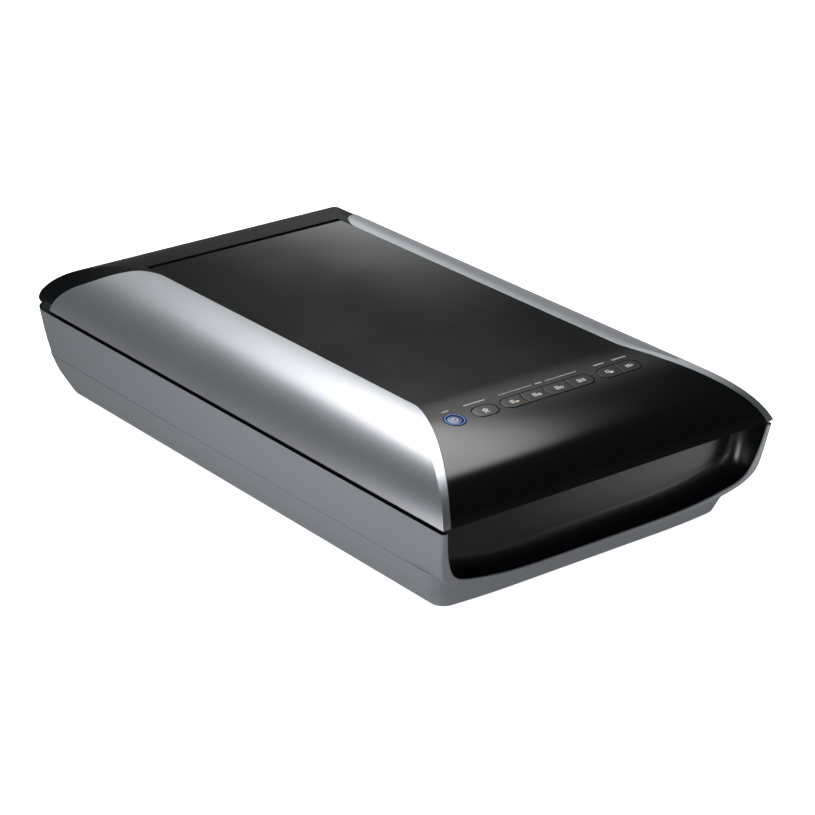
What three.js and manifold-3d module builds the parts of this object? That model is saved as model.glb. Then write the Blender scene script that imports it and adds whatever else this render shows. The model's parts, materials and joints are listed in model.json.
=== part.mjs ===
// Flatbed scanner with a film-scanning lid, in millimetres.
// +X is right seen from the front, +Y is to the rear, +Z is up.
// The origin is on the resting surface, under the middle of the case.

import * as THREE from 'three';
import { mergeVertices } from 'three/addons/utils/BufferGeometryUtils.js';
import Module from 'manifold-3d';

const wasm = await Module();
wasm.setup();

// ---------------------------------------------------------------- driving dimensions

const HALF_WIDTH = 136;
const HALF_LENGTH = 240.5;
// Cutting forms run this far out from the middle, clear of everything.
const BEYOND = 260;
const TOTAL_HEIGHT = 109.1;
const GAP = 0.3;
const WALL = 2.5;

const FOOT_HEIGHT = 3.5;
const FLOOR_TOP = FOOT_HEIGHT + WALL;
const RIM_Z = 71.5;
const LID_BOTTOM = 73.5;
const LID_REAR = 238.1;

const DECK_TOP = 70.5;
const DECK_BOTTOM = 67.5;
const REAR_DECK_TOP = 66;
const REAR_DECK_BOTTOM = 63;

const SHOULDER = { x: 85.5, z: 55.5, r: 53.6 };
const FLAT_HALF = 83.2;
const FLARE = { width: 46.8, length: 95.5, power: 1.33 };
const FRONT_CURVE = { y: -145, z: 65.1, a: 97.3, b: 44 };
const REAR_CURVE = { y: 160, z: 65.1, a: 82, b: 44 };
const SIDE_REAR = { y: 150, reach: 62, z: 74, rise: 35.1 };
const GROOVE_FRONT = 160.5;
const GROOVE_REAR = 163.5;

const BAY_BACK = -216;
const BAY_OUTLINE = [
  [132.4, 78], [131.4, 69], [129.4, 57], [127, 48], [123.4, 39.6], [118.5, 34.6],
  [112, 31.8], [103, 29.8], [84, 26.8], [62, 25],
];
const BAY_LOWEST = 24.8;

const GLASS = { half: 110.7, front: -156.7, rear: 146.7, bottom: 66.3, top: 69.3 };

const PIVOT = { y: 224, z: 82 };
const LEG_X = 85;
const LEG = { half: 11, front: 219.5, rear: 228.5, bottom: 22, barrel: 5.5 };
const SOCKET_TOP = 61;

const CARRIAGE = { half: 118, front: -200, rear: -134, bottom: 20, top: 58 };
const SCAN_LINE = -167;
const SHAFT = { x: -52, z: 14, r: 4, front: -206, rear: 205 };
const BELT = { x: -84, front: -190, rear: 196, r: 7.3, bottom: 12, top: 18, thick: 1.2 };
const GEAR_MODULE = 1;
const GEAR_TEETH = 36;
const PINION_TEETH = 12;
const GEAR_CENTRES = GEAR_MODULE * (GEAR_TEETH + PINION_TEETH) / 2 + 0.3;
const GEAR_BOTTOM = 7.2;
const GEAR_TOP = 10.7;
const MOTOR_X = BELT.x - GEAR_CENTRES;

const BUTTON_Y = -174.4;
const BUTTON_REACH = (BUTTON_Y - FRONT_CURVE.y) / FRONT_CURVE.a;
const BUTTON_Z = FRONT_CURVE.z + FRONT_CURVE.b * Math.sqrt(1 - BUTTON_REACH ** 2);
const BUTTON_TILT = THREE.MathUtils.degToRad(8.16);
const BUTTON_DEPTH = 13;
const BUTTON_GAP = 0.35;
const BOARD_DROP = 13;

// Each row of keys is one long slot in the panel, cut into keys at the dividers.
const POWER_KEY = { x: -75, r: 5.3, ringInner: 5.6, ringOuter: 7.15 };
const KEY_ROWS = [
  { from: -60.5, to: -40.9, dividers: [], names: ['button_auto_scan'] },
  {
    from: -37.6,
    to: 37.5,
    dividers: [-18.2, -0.1, 18.4],
    names: ['button_pdf_colour', 'button_pdf_mono', 'button_pdf_custom', 'button_pdf_finish'],
  },
  { from: 42.4, to: 77.5, dividers: [59.9], names: ['button_copy', 'button_email'] },
];

const FEET = [
  ['foot_front_left', -98, -186],
  ['foot_front_right', 98, -186],
  ['foot_rear_left', -98, 205],
  ['foot_rear_right', 98, 205],
];
const COLUMNS = [
  ['case_screw_front_left', -100, -205],
  ['case_screw_front_right', 100, -205],
  ['case_screw_rear_left', -62, 222],
  ['case_screw_rear_right', 62, 222],
];

// ---------------------------------------------------------------- finishes

function finish(color, roughness, metalness) {
  return new THREE.MeshStandardMaterial({ color, roughness, metalness });
}

const FINISH = {
  caseGrey: () => finish(0x85888a, 0.5, 0.2),
  silver: () => finish(0xb9bcc1, 0.32, 0.8),
  glossBlack: () => finish(0x0a0a0b, 0.08, 0),
  satinBlack: () => finish(0x1b1b1c, 0.4, 0),
  innerBlack: () => finish(0x202122, 0.6, 0),
  keyBlack: () => finish(0x111214, 0.25, 0),
  blueLight: () => finish(0x2c6fe0, 0.3, 0),
  glass: () => finish(0xcfe0dc, 0.03, 0),
  white: () => finish(0xf1f1ee, 0.6, 0),
  steel: () => finish(0xb4b7ba, 0.25, 1),
  brass: () => finish(0xb08d4a, 0.35, 1),
  rubber: () => finish(0x1d1d1d, 0.85, 0),
  nylon: () => finish(0xe4e0d2, 0.5, 0),
  board: () => finish(0x1f5a37, 0.55, 0),
  mirror: () => finish(0xe8ecef, 0.02, 1),
};

// ---------------------------------------------------------------- solids

function toSolid(geometry) {
  geometry.deleteAttribute('normal');
  geometry.deleteAttribute('uv');
  const merged = mergeVertices(geometry, 1e-4);
  return new wasm.Manifold(new wasm.Mesh({
    numProp: 3,
    vertProperties: Float32Array.from(merged.attributes.position.array),
    triVerts: Uint32Array.from(merged.index.array),
  }));
}

function toGeometry(solid) {
  const mesh = solid.getMesh();
  const geometry = new THREE.BufferGeometry();
  geometry.setAttribute('position', new THREE.BufferAttribute(mesh.vertProperties, 3));
  geometry.setIndex(new THREE.BufferAttribute(mesh.triVerts, 1));
  return geometry;
}

function extruded(points, depth, steps = 1) {
  const shape = new THREE.Shape(points.map(([u, v]) => new THREE.Vector2(u, v)));
  return new THREE.ExtrudeGeometry(shape, { depth, steps, bevelEnabled: false });
}

// A prism whose outline is drawn in plan, as [x, y].
const upright = (points, z0, z1) => toSolid(extruded(points, z1 - z0).translate(0, 0, z0));

// A prism whose outline is drawn from the front, as [x, z].
function lengthways(points, y0, y1) {
  return toSolid(extruded(points, y1 - y0).rotateX(Math.PI / 2).translate(0, y1, 0));
}

// A prism whose outline is drawn from the side, as [y, z].
function crossways(points, x0, x1) {
  const [alongX, alongY, alongZ] = [[1, 0, 0], [0, 1, 0], [0, 0, 1]].map((v) => new THREE.Vector3(...v));
  const turn = new THREE.Matrix4().makeBasis(alongY, alongZ, alongX);
  return toSolid(extruded(points, x1 - x0).applyMatrix4(turn).translate(x0, 0, 0));
}

function box(x0, x1, y0, y1, z0, z1) {
  const geometry = new THREE.BoxGeometry(x1 - x0, y1 - y0, z1 - z0);
  return toSolid(geometry.translate((x0 + x1) / 2, (y0 + y1) / 2, (z0 + z1) / 2));
}

// A rod along one axis, from one end to the other, at the two other coordinates.
function rod(axis, r, from, to, p, q, sides = 24) {
  const geometry = new THREE.CylinderGeometry(r, r, to - from, sides);
  const middle = (from + to) / 2;
  if (axis === 'x') geometry.rotateZ(Math.PI / 2).translate(middle, p, q);
  if (axis === 'y') geometry.translate(p, middle, q);
  if (axis === 'z') geometry.rotateX(Math.PI / 2).translate(p, q, middle);
  return toSolid(geometry);
}

// A solid of revolution about an upright axis; the profile is a closed list of [radius, z].
function turned(profile, x, y, sides = 24) {
  const points = profile.map(([r, z]) => new THREE.Vector2(r, z));
  return toSolid(new THREE.LatheGeometry(points, sides).rotateX(Math.PI / 2).translate(x, y, 0));
}

// ---------------------------------------------------------------- outlines

function arc(cx, cy, a, b, from, to, steps) {
  const points = [];
  for (let i = 0; i <= steps; i++) {
    const t = THREE.MathUtils.degToRad(from + (to - from) * i / steps);
    points.push([cx + a * Math.cos(t), cy + b * Math.sin(t)]);
  }
  return points;
}

const mirrored = (points) => [...points, ...points.map(([x, v]) => [-x, v]).reverse()];

function roundedRectangle(half, front, rear, frontR, rearR, steps = 5) {
  return mirrored([
    ...arc(half - frontR, front + frontR, frontR, frontR, -90, 0, steps),
    ...arc(half - rearR, rear - rearR, rearR, rearR, 0, 90, steps),
  ]);
}

function stadium(from, to, r, steps = 8) {
  return [...arc(to - r, 0, r, r, -90, 90, steps), ...arc(from + r, 0, r, r, 90, 270, steps)];
}

// ---------------------------------------------------------------- lower case

// Half width, front and rear of the case at each height. The front corners have a radius,
// and the front bows back towards them.
const HULL_LEVELS = [
  { z: FOOT_HEIGHT, half: 115.5, front: -214.9, rear: 230.5, corner: 8, bow: 3 },
  { z: 15.1, half: 122.2, front: -220, rear: 232.3, corner: 10, bow: 4.5 },
  { z: 22, half: 126.1, front: -226, rear: 233.3, corner: 10, bow: 6 },
  { z: 35.5, half: 131, front: -231.5, rear: 235.3, corner: 10, bow: 4 },
];
const BAND_LEVELS = [
  { z: 20, half: 124.9, front: -230.2, rear: 233, corner: 4, bow: 0 },
  { z: 35.5, half: 131, front: -233.2, rear: 235.3, corner: 4, bow: 0 },
  { z: 46, half: 133, front: -235.2, rear: 236.8, corner: 4, bow: 0 },
  { z: 57, half: 134.5, front: -237.2, rear: 238.4, corner: 4, bow: 0 },
  { z: RIM_Z, half: HALF_WIDTH, front: -240, rear: HALF_LENGTH, corner: 4, bow: 0 },
];
const REAR_CORNER = 20;

// The front frame's outer outline: it stands proud of the hull round the lower corners.
const FRAME_OUTLINE = [
  [140, 90], [140, 46], [133, 46], [131.3, 39], [128.3, 34.5], [123, 30.6],
  [117, 28], [110, 26], [99, 24], [81, 22.6], [50, 21.5],
];

function levelAt(levels, z) {
  const i = Math.max(1, levels.findIndex((level) => level.z >= z));
  const [low, high] = [levels[i - 1], levels[i]];
  const t = (z - low.z) / (high.z - low.z);
  const mixed = { z };
  for (const key of ['half', 'front', 'rear', 'corner', 'bow']) {
    mixed[key] = THREE.MathUtils.lerp(low[key], high[key], t);
  }
  return mixed;
}

// One level's outline in plan, with points along the front for its bow.
function caseRing({ half, front, rear, corner, bow }, inset) {
  const bowStart = 60;
  const [outer, frontY, rearY] = [half - inset, front + inset, rear - inset];
  const frontR = Math.max(corner - inset, 1.5);
  const rearR = REAR_CORNER - inset;
  const ring = mirrored([
    ...[0, 0.4, 0.8].map((t) => [THREE.MathUtils.lerp(bowStart, outer - frontR, t), frontY]),
    ...arc(outer - frontR, frontY + frontR, frontR, frontR, -90, 0, 4),
    ...arc(outer - rearR, rearY - rearR, rearR, rearR, 0, 90, 4),
  ]);
  return ring.map(([x, y]) => {
    const out = Math.max(0, (Math.abs(x) - bowStart) / (outer - bowStart));
    return [x, y < 0 ? y + bow * out * out : y];
  });
}

// A closed form through one ring of points at each level, all with the same number of points.
function stacked(levels, inset) {
  const rings = levels.map((level) => caseRing(level, inset));
  const geometry = extruded(rings[0], levels.length - 1, levels.length - 1);
  const position = geometry.attributes.position;
  for (let i = 0; i < position.count; i++) {
    const k = Math.round(position.getZ(i));
    const [px, py] = [position.getX(i), position.getY(i)];
    const nearest = rings[0].findIndex(([x, y]) => Math.hypot(x - px, y - py) < 1e-3);
    const [x, y] = rings[k][nearest];
    position.setXYZ(i, x, y, levels[k].z);
  }
  return toSolid(geometry);
}

// The hull runs a little past its own top level, so that the band's foot sits in it.
function hullForm(inset, bottom = FOOT_HEIGHT) {
  const top = HULL_LEVELS.at(-1);
  const levels = HULL_LEVELS.filter((level) => level.z > bottom + 1);
  return stacked([levelAt(HULL_LEVELS, bottom), ...levels, { ...top, z: top.z + 0.5 }], inset);
}

const bandForm = (inset) => stacked(BAND_LEVELS, inset);

function caseOutside() {
  const outline = [...FRAME_OUTLINE, [0, 21]];
  const whole = [...outline, ...FRAME_OUTLINE.map(([x, z]) => [-x, z]).reverse()];
  return hullForm(0).add(bandForm(0).intersect(lengthways(whole, -BEYOND, BEYOND)));
}

function caseInside() {
  const foot = levelAt(BAND_LEVELS, 34);
  const open = { ...BAND_LEVELS.at(-1), z: RIM_Z + 10 };
  return hullForm(WALL, FLOOR_TOP).add(stacked([foot, ...BAND_LEVELS.slice(1), open], WALL));
}

// The bay's outline seen from the front, moved in by an inset all round but open at the top.
function bayOutline(inset) {
  const right = BAY_OUTLINE.map(([x, z]) => [x - inset, z > RIM_Z ? z : z + inset * (1 - z / 90)]);
  return [...right, [0, BAY_LOWEST + inset], ...right.map(([x, z]) => [-x, z]).reverse()];
}

const REAR_SOCKETS = { usb: [34, 46], jack: [9, 21] };

function baseTub() {
  let tub = caseOutside().subtract(caseInside());
  tub = tub.subtract(lengthways(bayOutline(0), -BEYOND, -221));
  for (const [, x, y] of COLUMNS) {
    tub = tub.add(rod('z', 6, FLOOR_TOP - 1, 10, x, y));
    tub = tub.subtract(rod('z', 3.6, 0, 7, x, y));
    tub = tub.subtract(rod('z', 1.8, 0, 12, x, y, 16));
  }
  for (const side of [-1, 1]) {
    const x = side * LEG_X;
    const outer = box(x - 14, x + 14, LEG.front - 3, LEG.rear + 3, FLOOR_TOP - 1, SOCKET_TOP);
    tub = tub.add(outer.intersect(hullForm(1).add(bandForm(1))));
    tub = tub.subtract(box(x - 11.4, x + 11.4, LEG.front - 0.4, LEG.rear + 0.4, 14, SOCKET_TOP + 5));
  }
  for (const y of [SHAFT.front, SHAFT.rear - 4]) {
    tub = tub.add(box(SHAFT.x - 7, SHAFT.x + 7, y, y + 4, FLOOR_TOP - 1, SHAFT.z + 6));
    tub = tub.subtract(rod('y', SHAFT.r + GAP, y - 1, y + 5, SHAFT.x, SHAFT.z));
  }
  for (const [x0, x1] of Object.values(REAR_SOCKETS)) {
    tub = tub.subtract(box(x0 - 0.6, x1 + 0.6, 228, 245, 11.4, 23.6));
  }
  for (const [x, y] of [[-22, 190], [46, 190]]) {
    tub = tub.add(rod('z', 3, FLOOR_TOP - 1, 9.7, x, y, 16));
  }
  for (const [x, y] of [[BELT.x, BELT.front], [BELT.x, BELT.rear]]) {
    tub = tub.add(rod('z', 2.5, FLOOR_TOP - 1, 20.5 - (y > 0 ? 1 : 1.5), x, y, 16));
  }
  tub = tub.subtract(box(53, 77, -154, -146, 0, 10));
  return tub;
}

function frontBay() {
  const shell = lengthways(bayOutline(0.4), -245, BAY_BACK + WALL).intersect(bandForm(0.6));
  const geometry = extruded(bayOutline(2.6), 1, 5);
  const position = geometry.attributes.position;
  const [front, top] = [-246, 78];
  for (let i = 0; i < position.count; i++) {
    const t = 1 - position.getZ(i);
    const narrow = 1 - 0.1 * t * t;
    const lift = 1 - 0.13 * t * t;
    const y = front + (BAY_BACK - front) * t;
    position.setXYZ(i, position.getX(i) * narrow, y, top - (top - position.getY(i)) * lift);
  }
  const hollow = toSolid(geometry);
  return shell.subtract(hollow).subtract(box(-140, 140, -BEYOND, -200, DECK_TOP, 90));
}

function topFrame() {
  const ring = (inset) => roundedRectangle(132.2 - inset, -212.8 + inset, 235.6 - inset, 3, 17);
  let frame = upright(ring(0), DECK_BOTTOM, DECK_TOP);
  frame = frame.add(box(-114.5, 114.5, -160.5, 150.5, 63.5, 69));
  frame = frame.subtract(box(-140, 140, 203, 250, REAR_DECK_TOP, 80));
  const rearDeck = upright(ring(0), REAR_DECK_BOTTOM, REAR_DECK_TOP);
  frame = frame.add(rearDeck.intersect(box(-140, 140, 200, 250, 60, 70)));
  frame = frame.add(box(-131.9, 131.9, 200, 203, REAR_DECK_BOTTOM, 69));
  frame = frame.subtract(box(-111, 111, -157, 147, 66, 80));
  frame = frame.subtract(box(-107, 107, -153, 143, 60, 80));
  for (const [, x, y] of COLUMNS) {
    const top = y > 0 ? REAR_DECK_BOTTOM + 1 : DECK_BOTTOM + 1;
    frame = frame.add(rod('z', 3.5, 10.3, top, x, y, 20));
    frame = frame.subtract(rod('z', 1.7, 9, 26, x, y, 16));
  }
  for (const side of [-1, 1]) {
    const x = side * LEG_X;
    frame = frame.subtract(box(x - 11.8, x + 11.8, LEG.front - 0.8, LEG.rear + 0.8, 60, 70));
  }
  return frame;
}

function platenGlass() {
  return box(-GLASS.half, GLASS.half, GLASS.front, GLASS.rear, GLASS.bottom, GLASS.top);
}

function calibrationStrip() {
  return box(-107, 107, -173, -161.5, 65, 67.2);
}

function caseScrew(x, y) {
  const head = [[0, 4.4], [2.6, 4.4], [3.1, 5], [3.1, 6.6]];
  const shank = [[1.4, 6.6], [1.4, 23], [0.6, 24.5], [0, 24.5]];
  return turned([...head, ...shank], x, y, 16);
}

function foot(x, y) {
  return turned([[0, 0], [7.6, 0], [8.4, 0.6], [8.8, FOOT_HEIGHT - GAP], [0, FOOT_HEIGHT - GAP]], x, y, 28);
}

// ---------------------------------------------------------------- scanning drive

function guideShaft() {
  return rod('y', SHAFT.r, SHAFT.front, SHAFT.rear, SHAFT.x, SHAFT.z, 20);
}

function supportRail() {
  return box(86, 98, -196, 196, FLOOR_TOP + GAP, 14).add(box(89, 95, -196, 196, 13, 16));
}

// A loop lying flat around the two upright pulleys.
function driveBelt() {
  const loop = (r) => [
    ...arc(BELT.x, BELT.rear, r, r, 0, 180, 14),
    ...arc(BELT.x, BELT.front, r, r, 180, 360, 14),
  ];
  const outer = upright(loop(BELT.r + BELT.thick), BELT.bottom, BELT.top);
  return outer.subtract(upright(loop(BELT.r), BELT.bottom - 1, BELT.top + 1));
}

function gearOutline(teeth, x, y, turn) {
  const pitch = GEAR_MODULE * teeth / 2;
  const [tip, root] = [pitch + 0.8 * GEAR_MODULE, pitch - 1.25 * GEAR_MODULE];
  const step = 360 / teeth;
  const points = [];
  for (let i = 0; i < teeth; i++) {
    const angle = turn + i * step;
    for (const [r, part] of [[root, -0.34], [tip, -0.13], [tip, 0.13], [root, 0.34]]) {
      const t = THREE.MathUtils.degToRad(angle + part * step);
      points.push([x + r * Math.cos(t), y + r * Math.sin(t)]);
    }
  }
  return points;
}

function spool(x, y, bore, bottom) {
  const [flange, barrel] = [BELT.r + 2.4, BELT.r - GAP];
  return turned([
    [bore, bottom], [flange, bottom], [flange, BELT.bottom - GAP], [barrel, BELT.bottom - GAP],
    [barrel, BELT.top + GAP], [flange, BELT.top + GAP], [flange, 19.2], [bore, 19.2], [bore, bottom],
  ], x, y);
}

function drivePulleyGear() {
  const gear = upright(gearOutline(GEAR_TEETH, BELT.x, BELT.rear, 180), GEAR_BOTTOM, GEAR_TOP);
  const bored = gear.subtract(rod('z', 2.8, 0, 30, BELT.x, BELT.rear, 24));
  return bored.add(spool(BELT.x, BELT.rear, 2.8, GEAR_TOP - 0.5));
}

function idlerPulley() {
  return spool(BELT.x, BELT.front, 2.8, 10.4);
}

function motorPinion() {
  const turn = 180 / PINION_TEETH;
  const gear = upright(gearOutline(PINION_TEETH, MOTOR_X, BELT.rear, turn), GEAR_BOTTOM, GEAR_TOP);
  return gear.subtract(rod('z', 1.8, 0, 30, MOTOR_X, BELT.rear, 16));
}

function motorBody() {
  const can = rod('z', 12.2, 21, 38, MOTOR_X, BELT.rear, 28);
  const nose = rod('z', 4, 17.7, 22, MOTOR_X, BELT.rear, 20);
  return can.add(nose).add(rod('z', 1.5, GEAR_BOTTOM, 20, MOTOR_X, BELT.rear, 16));
}

function motorBracket() {
  const [x0, x1] = [MOTOR_X - 11.5, MOTOR_X + 12.5];
  const plate = box(x0, x1, BELT.rear - 13, BELT.rear + 13, 18.7, 20.7);
  let bracket = plate.subtract(rod('z', 4.4, 10, 30, MOTOR_X, BELT.rear, 20));
  for (const y of [BELT.rear - 13, BELT.rear + 10]) {
    bracket = bracket.add(box(x0 + 7, x0 + 18, y, y + 3, FLOOR_TOP + GAP, 19));
  }
  return bracket;
}

function mainBoard() {
  return box(-30, 54, 184, 227, 10, 11.6);
}

// A rear socket: a shell open to the rear with a tongue or pin inside.
function usbSocket() {
  const [x0, x1] = REAR_SOCKETS.usb;
  const shell = box(x0, x1, 214, 231.6, 12, 23).subtract(box(x0 + 1.2, x1 - 1.2, 216, 240, 13.2, 21.8));
  return shell.add(box(x0 + 3.2, x1 - 3.2, 215, 226.5, 16, 19));
}

function powerJack() {
  const [x0, x1] = REAR_SOCKETS.jack;
  const middle = (x0 + x1) / 2;
  const shell = box(x0, x1, 216, 231.6, 12, 23).subtract(rod('y', 4.2, 218, 240, middle, 17.5));
  return shell.add(rod('y', 1, 217, 226.5, middle, 17.5, 12));
}

function lockSwitch() {
  const knob = upright(roundedRectangle(7, -154.5, -145.5, 2, 2, 3).map(([x, y]) => [x + 60, y]), 1.2, 3);
  return knob.add(box(57, 63, -153, -147, 2.5, 7)).add(box(52, 68, -156, -144, FLOOR_TOP + GAP, 8.3));
}

// ---------------------------------------------------------------- scanning carriage

function carriageHousing() {
  const { half, front, rear, bottom, top } = CARRIAGE;
  let housing = box(-half, half, front, rear, bottom, top);
  housing = housing.subtract(box(-half + 2, half - 2, front + 2, rear - 2, bottom + 2, top + 1));
  for (const side of [-1, 1]) {
    const rib = side * 108;
    housing = housing.add(box(rib - 1.5, rib + 1.5, front + 1, rear - 1, bottom + 1, 50));
  }
  return housing.add(box(-28, 28, -139, rear - 1, bottom + 1, 24));
}

function mirrorBar(y, z, tilt) {
  const geometry = new THREE.BoxGeometry(208, 11, 1.8);
  return toSolid(geometry.rotateX(THREE.MathUtils.degToRad(tilt)).translate(0, y, z));
}

function lensBlock() {
  const mount = box(-16, 16, -163, -147, 22.3, 30);
  return mount.add(rod('y', 8.5, -166, -145, 0, 34)).subtract(rod('y', 5.5, -170, -163, 0, 34, 20));
}

function ccdBoard() {
  return box(-27, 27, -141.5, -139.9, 24.5, 47).add(box(-20, 20, -143.5, -141, 30, 38));
}

function lightBar() {
  return box(-106, 106, SCAN_LINE + 5, SCAN_LINE + 11, 53, 61);
}

function shaftBushing() {
  const sleeve = rod('y', 5.7, -194, -140, SHAFT.x, SHAFT.z);
  return sleeve.subtract(rod('y', SHAFT.r + GAP, -200, -130, SHAFT.x, SHAFT.z));
}

function beltClamp() {
  const run = BELT.x + BELT.r;
  const grip = box(run - 3, run + 4.2, -176, -158, 10, 19.7);
  return grip.subtract(box(run - GAP, run + BELT.thick + GAP, -180, -150, 9, BELT.top + GAP));
}

// ---------------------------------------------------------------- hinge

function hingeLeg(side) {
  const x = side * LEG_X;
  const post = box(x - LEG.half, x + LEG.half, LEG.front, LEG.rear, LEG.bottom, PIVOT.z - 2);
  const barrel = rod('x', LEG.barrel, x - LEG.half, x + LEG.half, PIVOT.y, PIVOT.z, 28);
  return post.add(barrel).subtract(rod('x', 2.8, x - 20, x + 20, PIVOT.y, PIVOT.z));
}

function hingePin(side) {
  const x = side * LEG_X;
  return rod('x', 2.5, x - 14, x + 14, PIVOT.y, PIVOT.z);
}

function hingeBracket(side) {
  const x = side * LEG_X;
  const ear = [
    ...arc(PIVOT.y, PIVOT.z, 5.4, 5.4, -90, 90, 12),
    [214, 87], [194, 80], [192, 76.3], [218, 76.3],
  ];
  const inner = crossways(ear, x - 13.8, x - LEG.half - 0.4);
  const outer = crossways(ear, x + LEG.half + 0.4, x + 13.8);
  const plate = box(x - 13.8, x + 13.8, 192, 212, 76.3, 78.8);
  return inner.add(outer).add(plate).subtract(rod('x', 2.8, x - 20, x + 20, PIVOT.y, PIVOT.z));
}

// ---------------------------------------------------------------- lid

function lidSection(inset) {
  const r = SHOULDER.r - inset;
  const low = THREE.MathUtils.radToDeg(Math.asin((LID_BOTTOM - SHOULDER.z) / r));
  const side = arc(SHOULDER.x, SHOULDER.z, r, r, low, 90, 12);
  if (inset) side.unshift([side[0][0], LID_BOTTOM - 8]);
  return mirrored(side);
}

function lidProfile(inset) {
  const { y, z, a, b } = FRONT_CURVE;
  const drop = THREE.MathUtils.radToDeg(Math.asin((LID_BOTTOM - z) / (b - inset)));
  const front = arc(y, z, a - inset, b - inset, 180 - drop, 90, 14);
  const rearLow = THREE.MathUtils.radToDeg(Math.asin(14 / (b - inset)));
  const rear = arc(REAR_CURVE.y, REAR_CURVE.z, REAR_CURVE.a - inset, REAR_CURVE.b - inset, 90, rearLow, 12);
  const [tail] = rear.at(-1);
  const curl = [[tail, 77.2], [tail - 1.3, 75], [tail - 4, LID_BOTTOM]];
  if (!inset) return [...front, ...rear, ...curl];
  return [[front[0][0], LID_BOTTOM - 8], ...front, ...rear, [tail, LID_BOTTOM - 8]];
}

// The lid's outer form moved in by an inset; an inner form runs on below the lid's edge.
function lidForm(inset) {
  const [half, front, rear] = [HALF_WIDTH - inset, -HALF_LENGTH + inset, LID_REAR - inset];
  const plan = roundedRectangle(half, front, rear, 5 - inset / 2, REAR_CORNER - inset);
  const section = lengthways(lidSection(inset), -BEYOND, BEYOND);
  return section.intersect(crossways(lidProfile(inset), -150, 150)).intersect(upright(plan, 50, 130));
}

// Half width of the gloss panel at each length: straight, then flaring round the front corners.
function panelHalf(y) {
  const along = Math.max(0, (FRONT_CURVE.y - y) / FLARE.length);
  return FLAT_HALF + FLARE.width * along ** FLARE.power;
}

function panelPlan(offset, rear) {
  const right = [[FLAT_HALF + offset, rear]];
  for (let i = 0; i <= 14; i++) {
    const y = FRONT_CURVE.y - 98 * i / 14;
    right.push([panelHalf(y) + offset, y]);
  }
  return mirrored(right);
}

// The rear edge of a silver side, seen from the side: it falls back from the lid's top.
function sideProfile(offset) {
  const { y, reach, z, rise } = SIDE_REAR;
  const edge = [];
  for (let i = 0; i <= 14; i++) {
    const up = Math.sin((Math.PI / 2) * i / 14);
    edge.push([y + reach * (1 - up ** 1.5) ** 0.54 + offset, z + rise * up]);
  }
  return [[-BEYOND, 60], [y + reach + offset, 60], ...edge, [y + offset, 115], [-BEYOND, 115]];
}

const lidShell = () => lidForm(0).subtract(lidForm(WALL));

function hingeNotches(solid) {
  let cut = solid;
  for (const side of [-1, 1]) {
    const x = side * LEG_X;
    cut = cut.subtract(box(x - 14.8, x + 14.8, 216, BEYOND, 50, 86.5));
  }
  return cut;
}

function keyHole(row) {
  const hole = upright(stadium(row.from, row.to, BUTTON_DEPTH / 2), -12, 12);
  return tilted(hole);
}

const buttonFrame = new THREE.Matrix4().makeRotationX(BUTTON_TILT).setPosition(0, BUTTON_Y, BUTTON_Z);
const tilted = (solid) => toSolid(toGeometry(solid).applyMatrix4(buttonFrame));

function glossTopPanel() {
  let panel = lidShell().intersect(upright(panelPlan(-0.15, GROOVE_FRONT), 50, 130));
  for (const row of KEY_ROWS) panel = panel.subtract(keyHole(row));
  return panel.subtract(tilted(rod('z', POWER_KEY.ringOuter + BUTTON_GAP, -12, 12, POWER_KEY.x, 0, 28)));
}

function silverSide(side) {
  const [x0, x1] = side < 0 ? [-150, -60] : [60, 150];
  const region = crossways(sideProfile(0), x0, x1);
  return lidShell().intersect(region).subtract(upright(panelPlan(0.15, BEYOND), 50, 130));
}

function rearCover() {
  const middle = box(-FLAT_HALF - 0.1, FLAT_HALF + 0.1, -BEYOND, GROOVE_REAR, 50, 130);
  let cover = lidShell().subtract(middle).subtract(box(-150, 150, -BEYOND, 120, 50, 130));
  for (const [x0, x1] of [[-150, -FLAT_HALF], [FLAT_HALF, 150]]) {
    cover = cover.subtract(crossways(sideProfile(GAP), x0, x1));
  }
  const ledge = box(-82.4, 82.4, 156, 167, 103.6, 106.2).add(box(-82.4, 82.4, GROOVE_REAR, 167, 104, 108));
  return hingeNotches(cover.add(ledge));
}

function lidFrame() {
  const inner = lidForm(WALL + GAP);
  const floor = inner.intersect(box(-150, 150, -BEYOND, BEYOND, LID_BOTTOM, 76));
  const wall = inner.subtract(lidForm(WALL + GAP + 1.8)).intersect(box(-150, 150, -BEYOND, BEYOND, 75, 84));
  let frame = floor.add(wall).subtract(box(-48.3, 48.3, -130.3, 130.3, 60, 90));
  for (const x of [-54, 54]) frame = frame.add(box(x - 1, x + 1, -150, 150, 75.5, 82));
  for (const [x, y] of [[-80, -180], [0, -180], [80, -180]]) {
    frame = frame.add(rod('z', 3, 75.5, 90.4, x, y, 12));
  }
  return hingeNotches(frame);
}

function filmLightPanel() {
  return box(-48, 48, -130, 130, LID_BOTTOM + GAP, 76);
}

function lampHousing() {
  const shell = box(-51, 51, -133, 133, 76.3, 90);
  return shell.subtract(box(-49, 49, -131, 131, 70, 88));
}

function lampBar() {
  return box(-44, -38, -126, 126, 78, 84);
}

function coverSheet() {
  return upright(roundedRectangle(107, -150, 143, 4, 4, 3), 70.8, 73.2);
}

function buttonBoard() {
  return box(-86, 86, -8, 8, -BOARD_DROP - 1.6, -BOARD_DROP);
}

// Keys are drawn about their own slot, with the panel's surface at height 0.
function keyCap(from, to, row) {
  const r = BUTTON_DEPTH / 2 - BUTTON_GAP;
  const slot = upright(stadium(row.from + BUTTON_GAP, row.to - BUTTON_GAP, r), -5, 0.7);
  const middle = (from + to) / 2;
  const cell = box(from, to, -10, 10, -8, 4);
  return slot.intersect(cell).add(rod('z', 1.6, -BOARD_DROP + 1.2, -4, middle, 0, 12));
}

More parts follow.
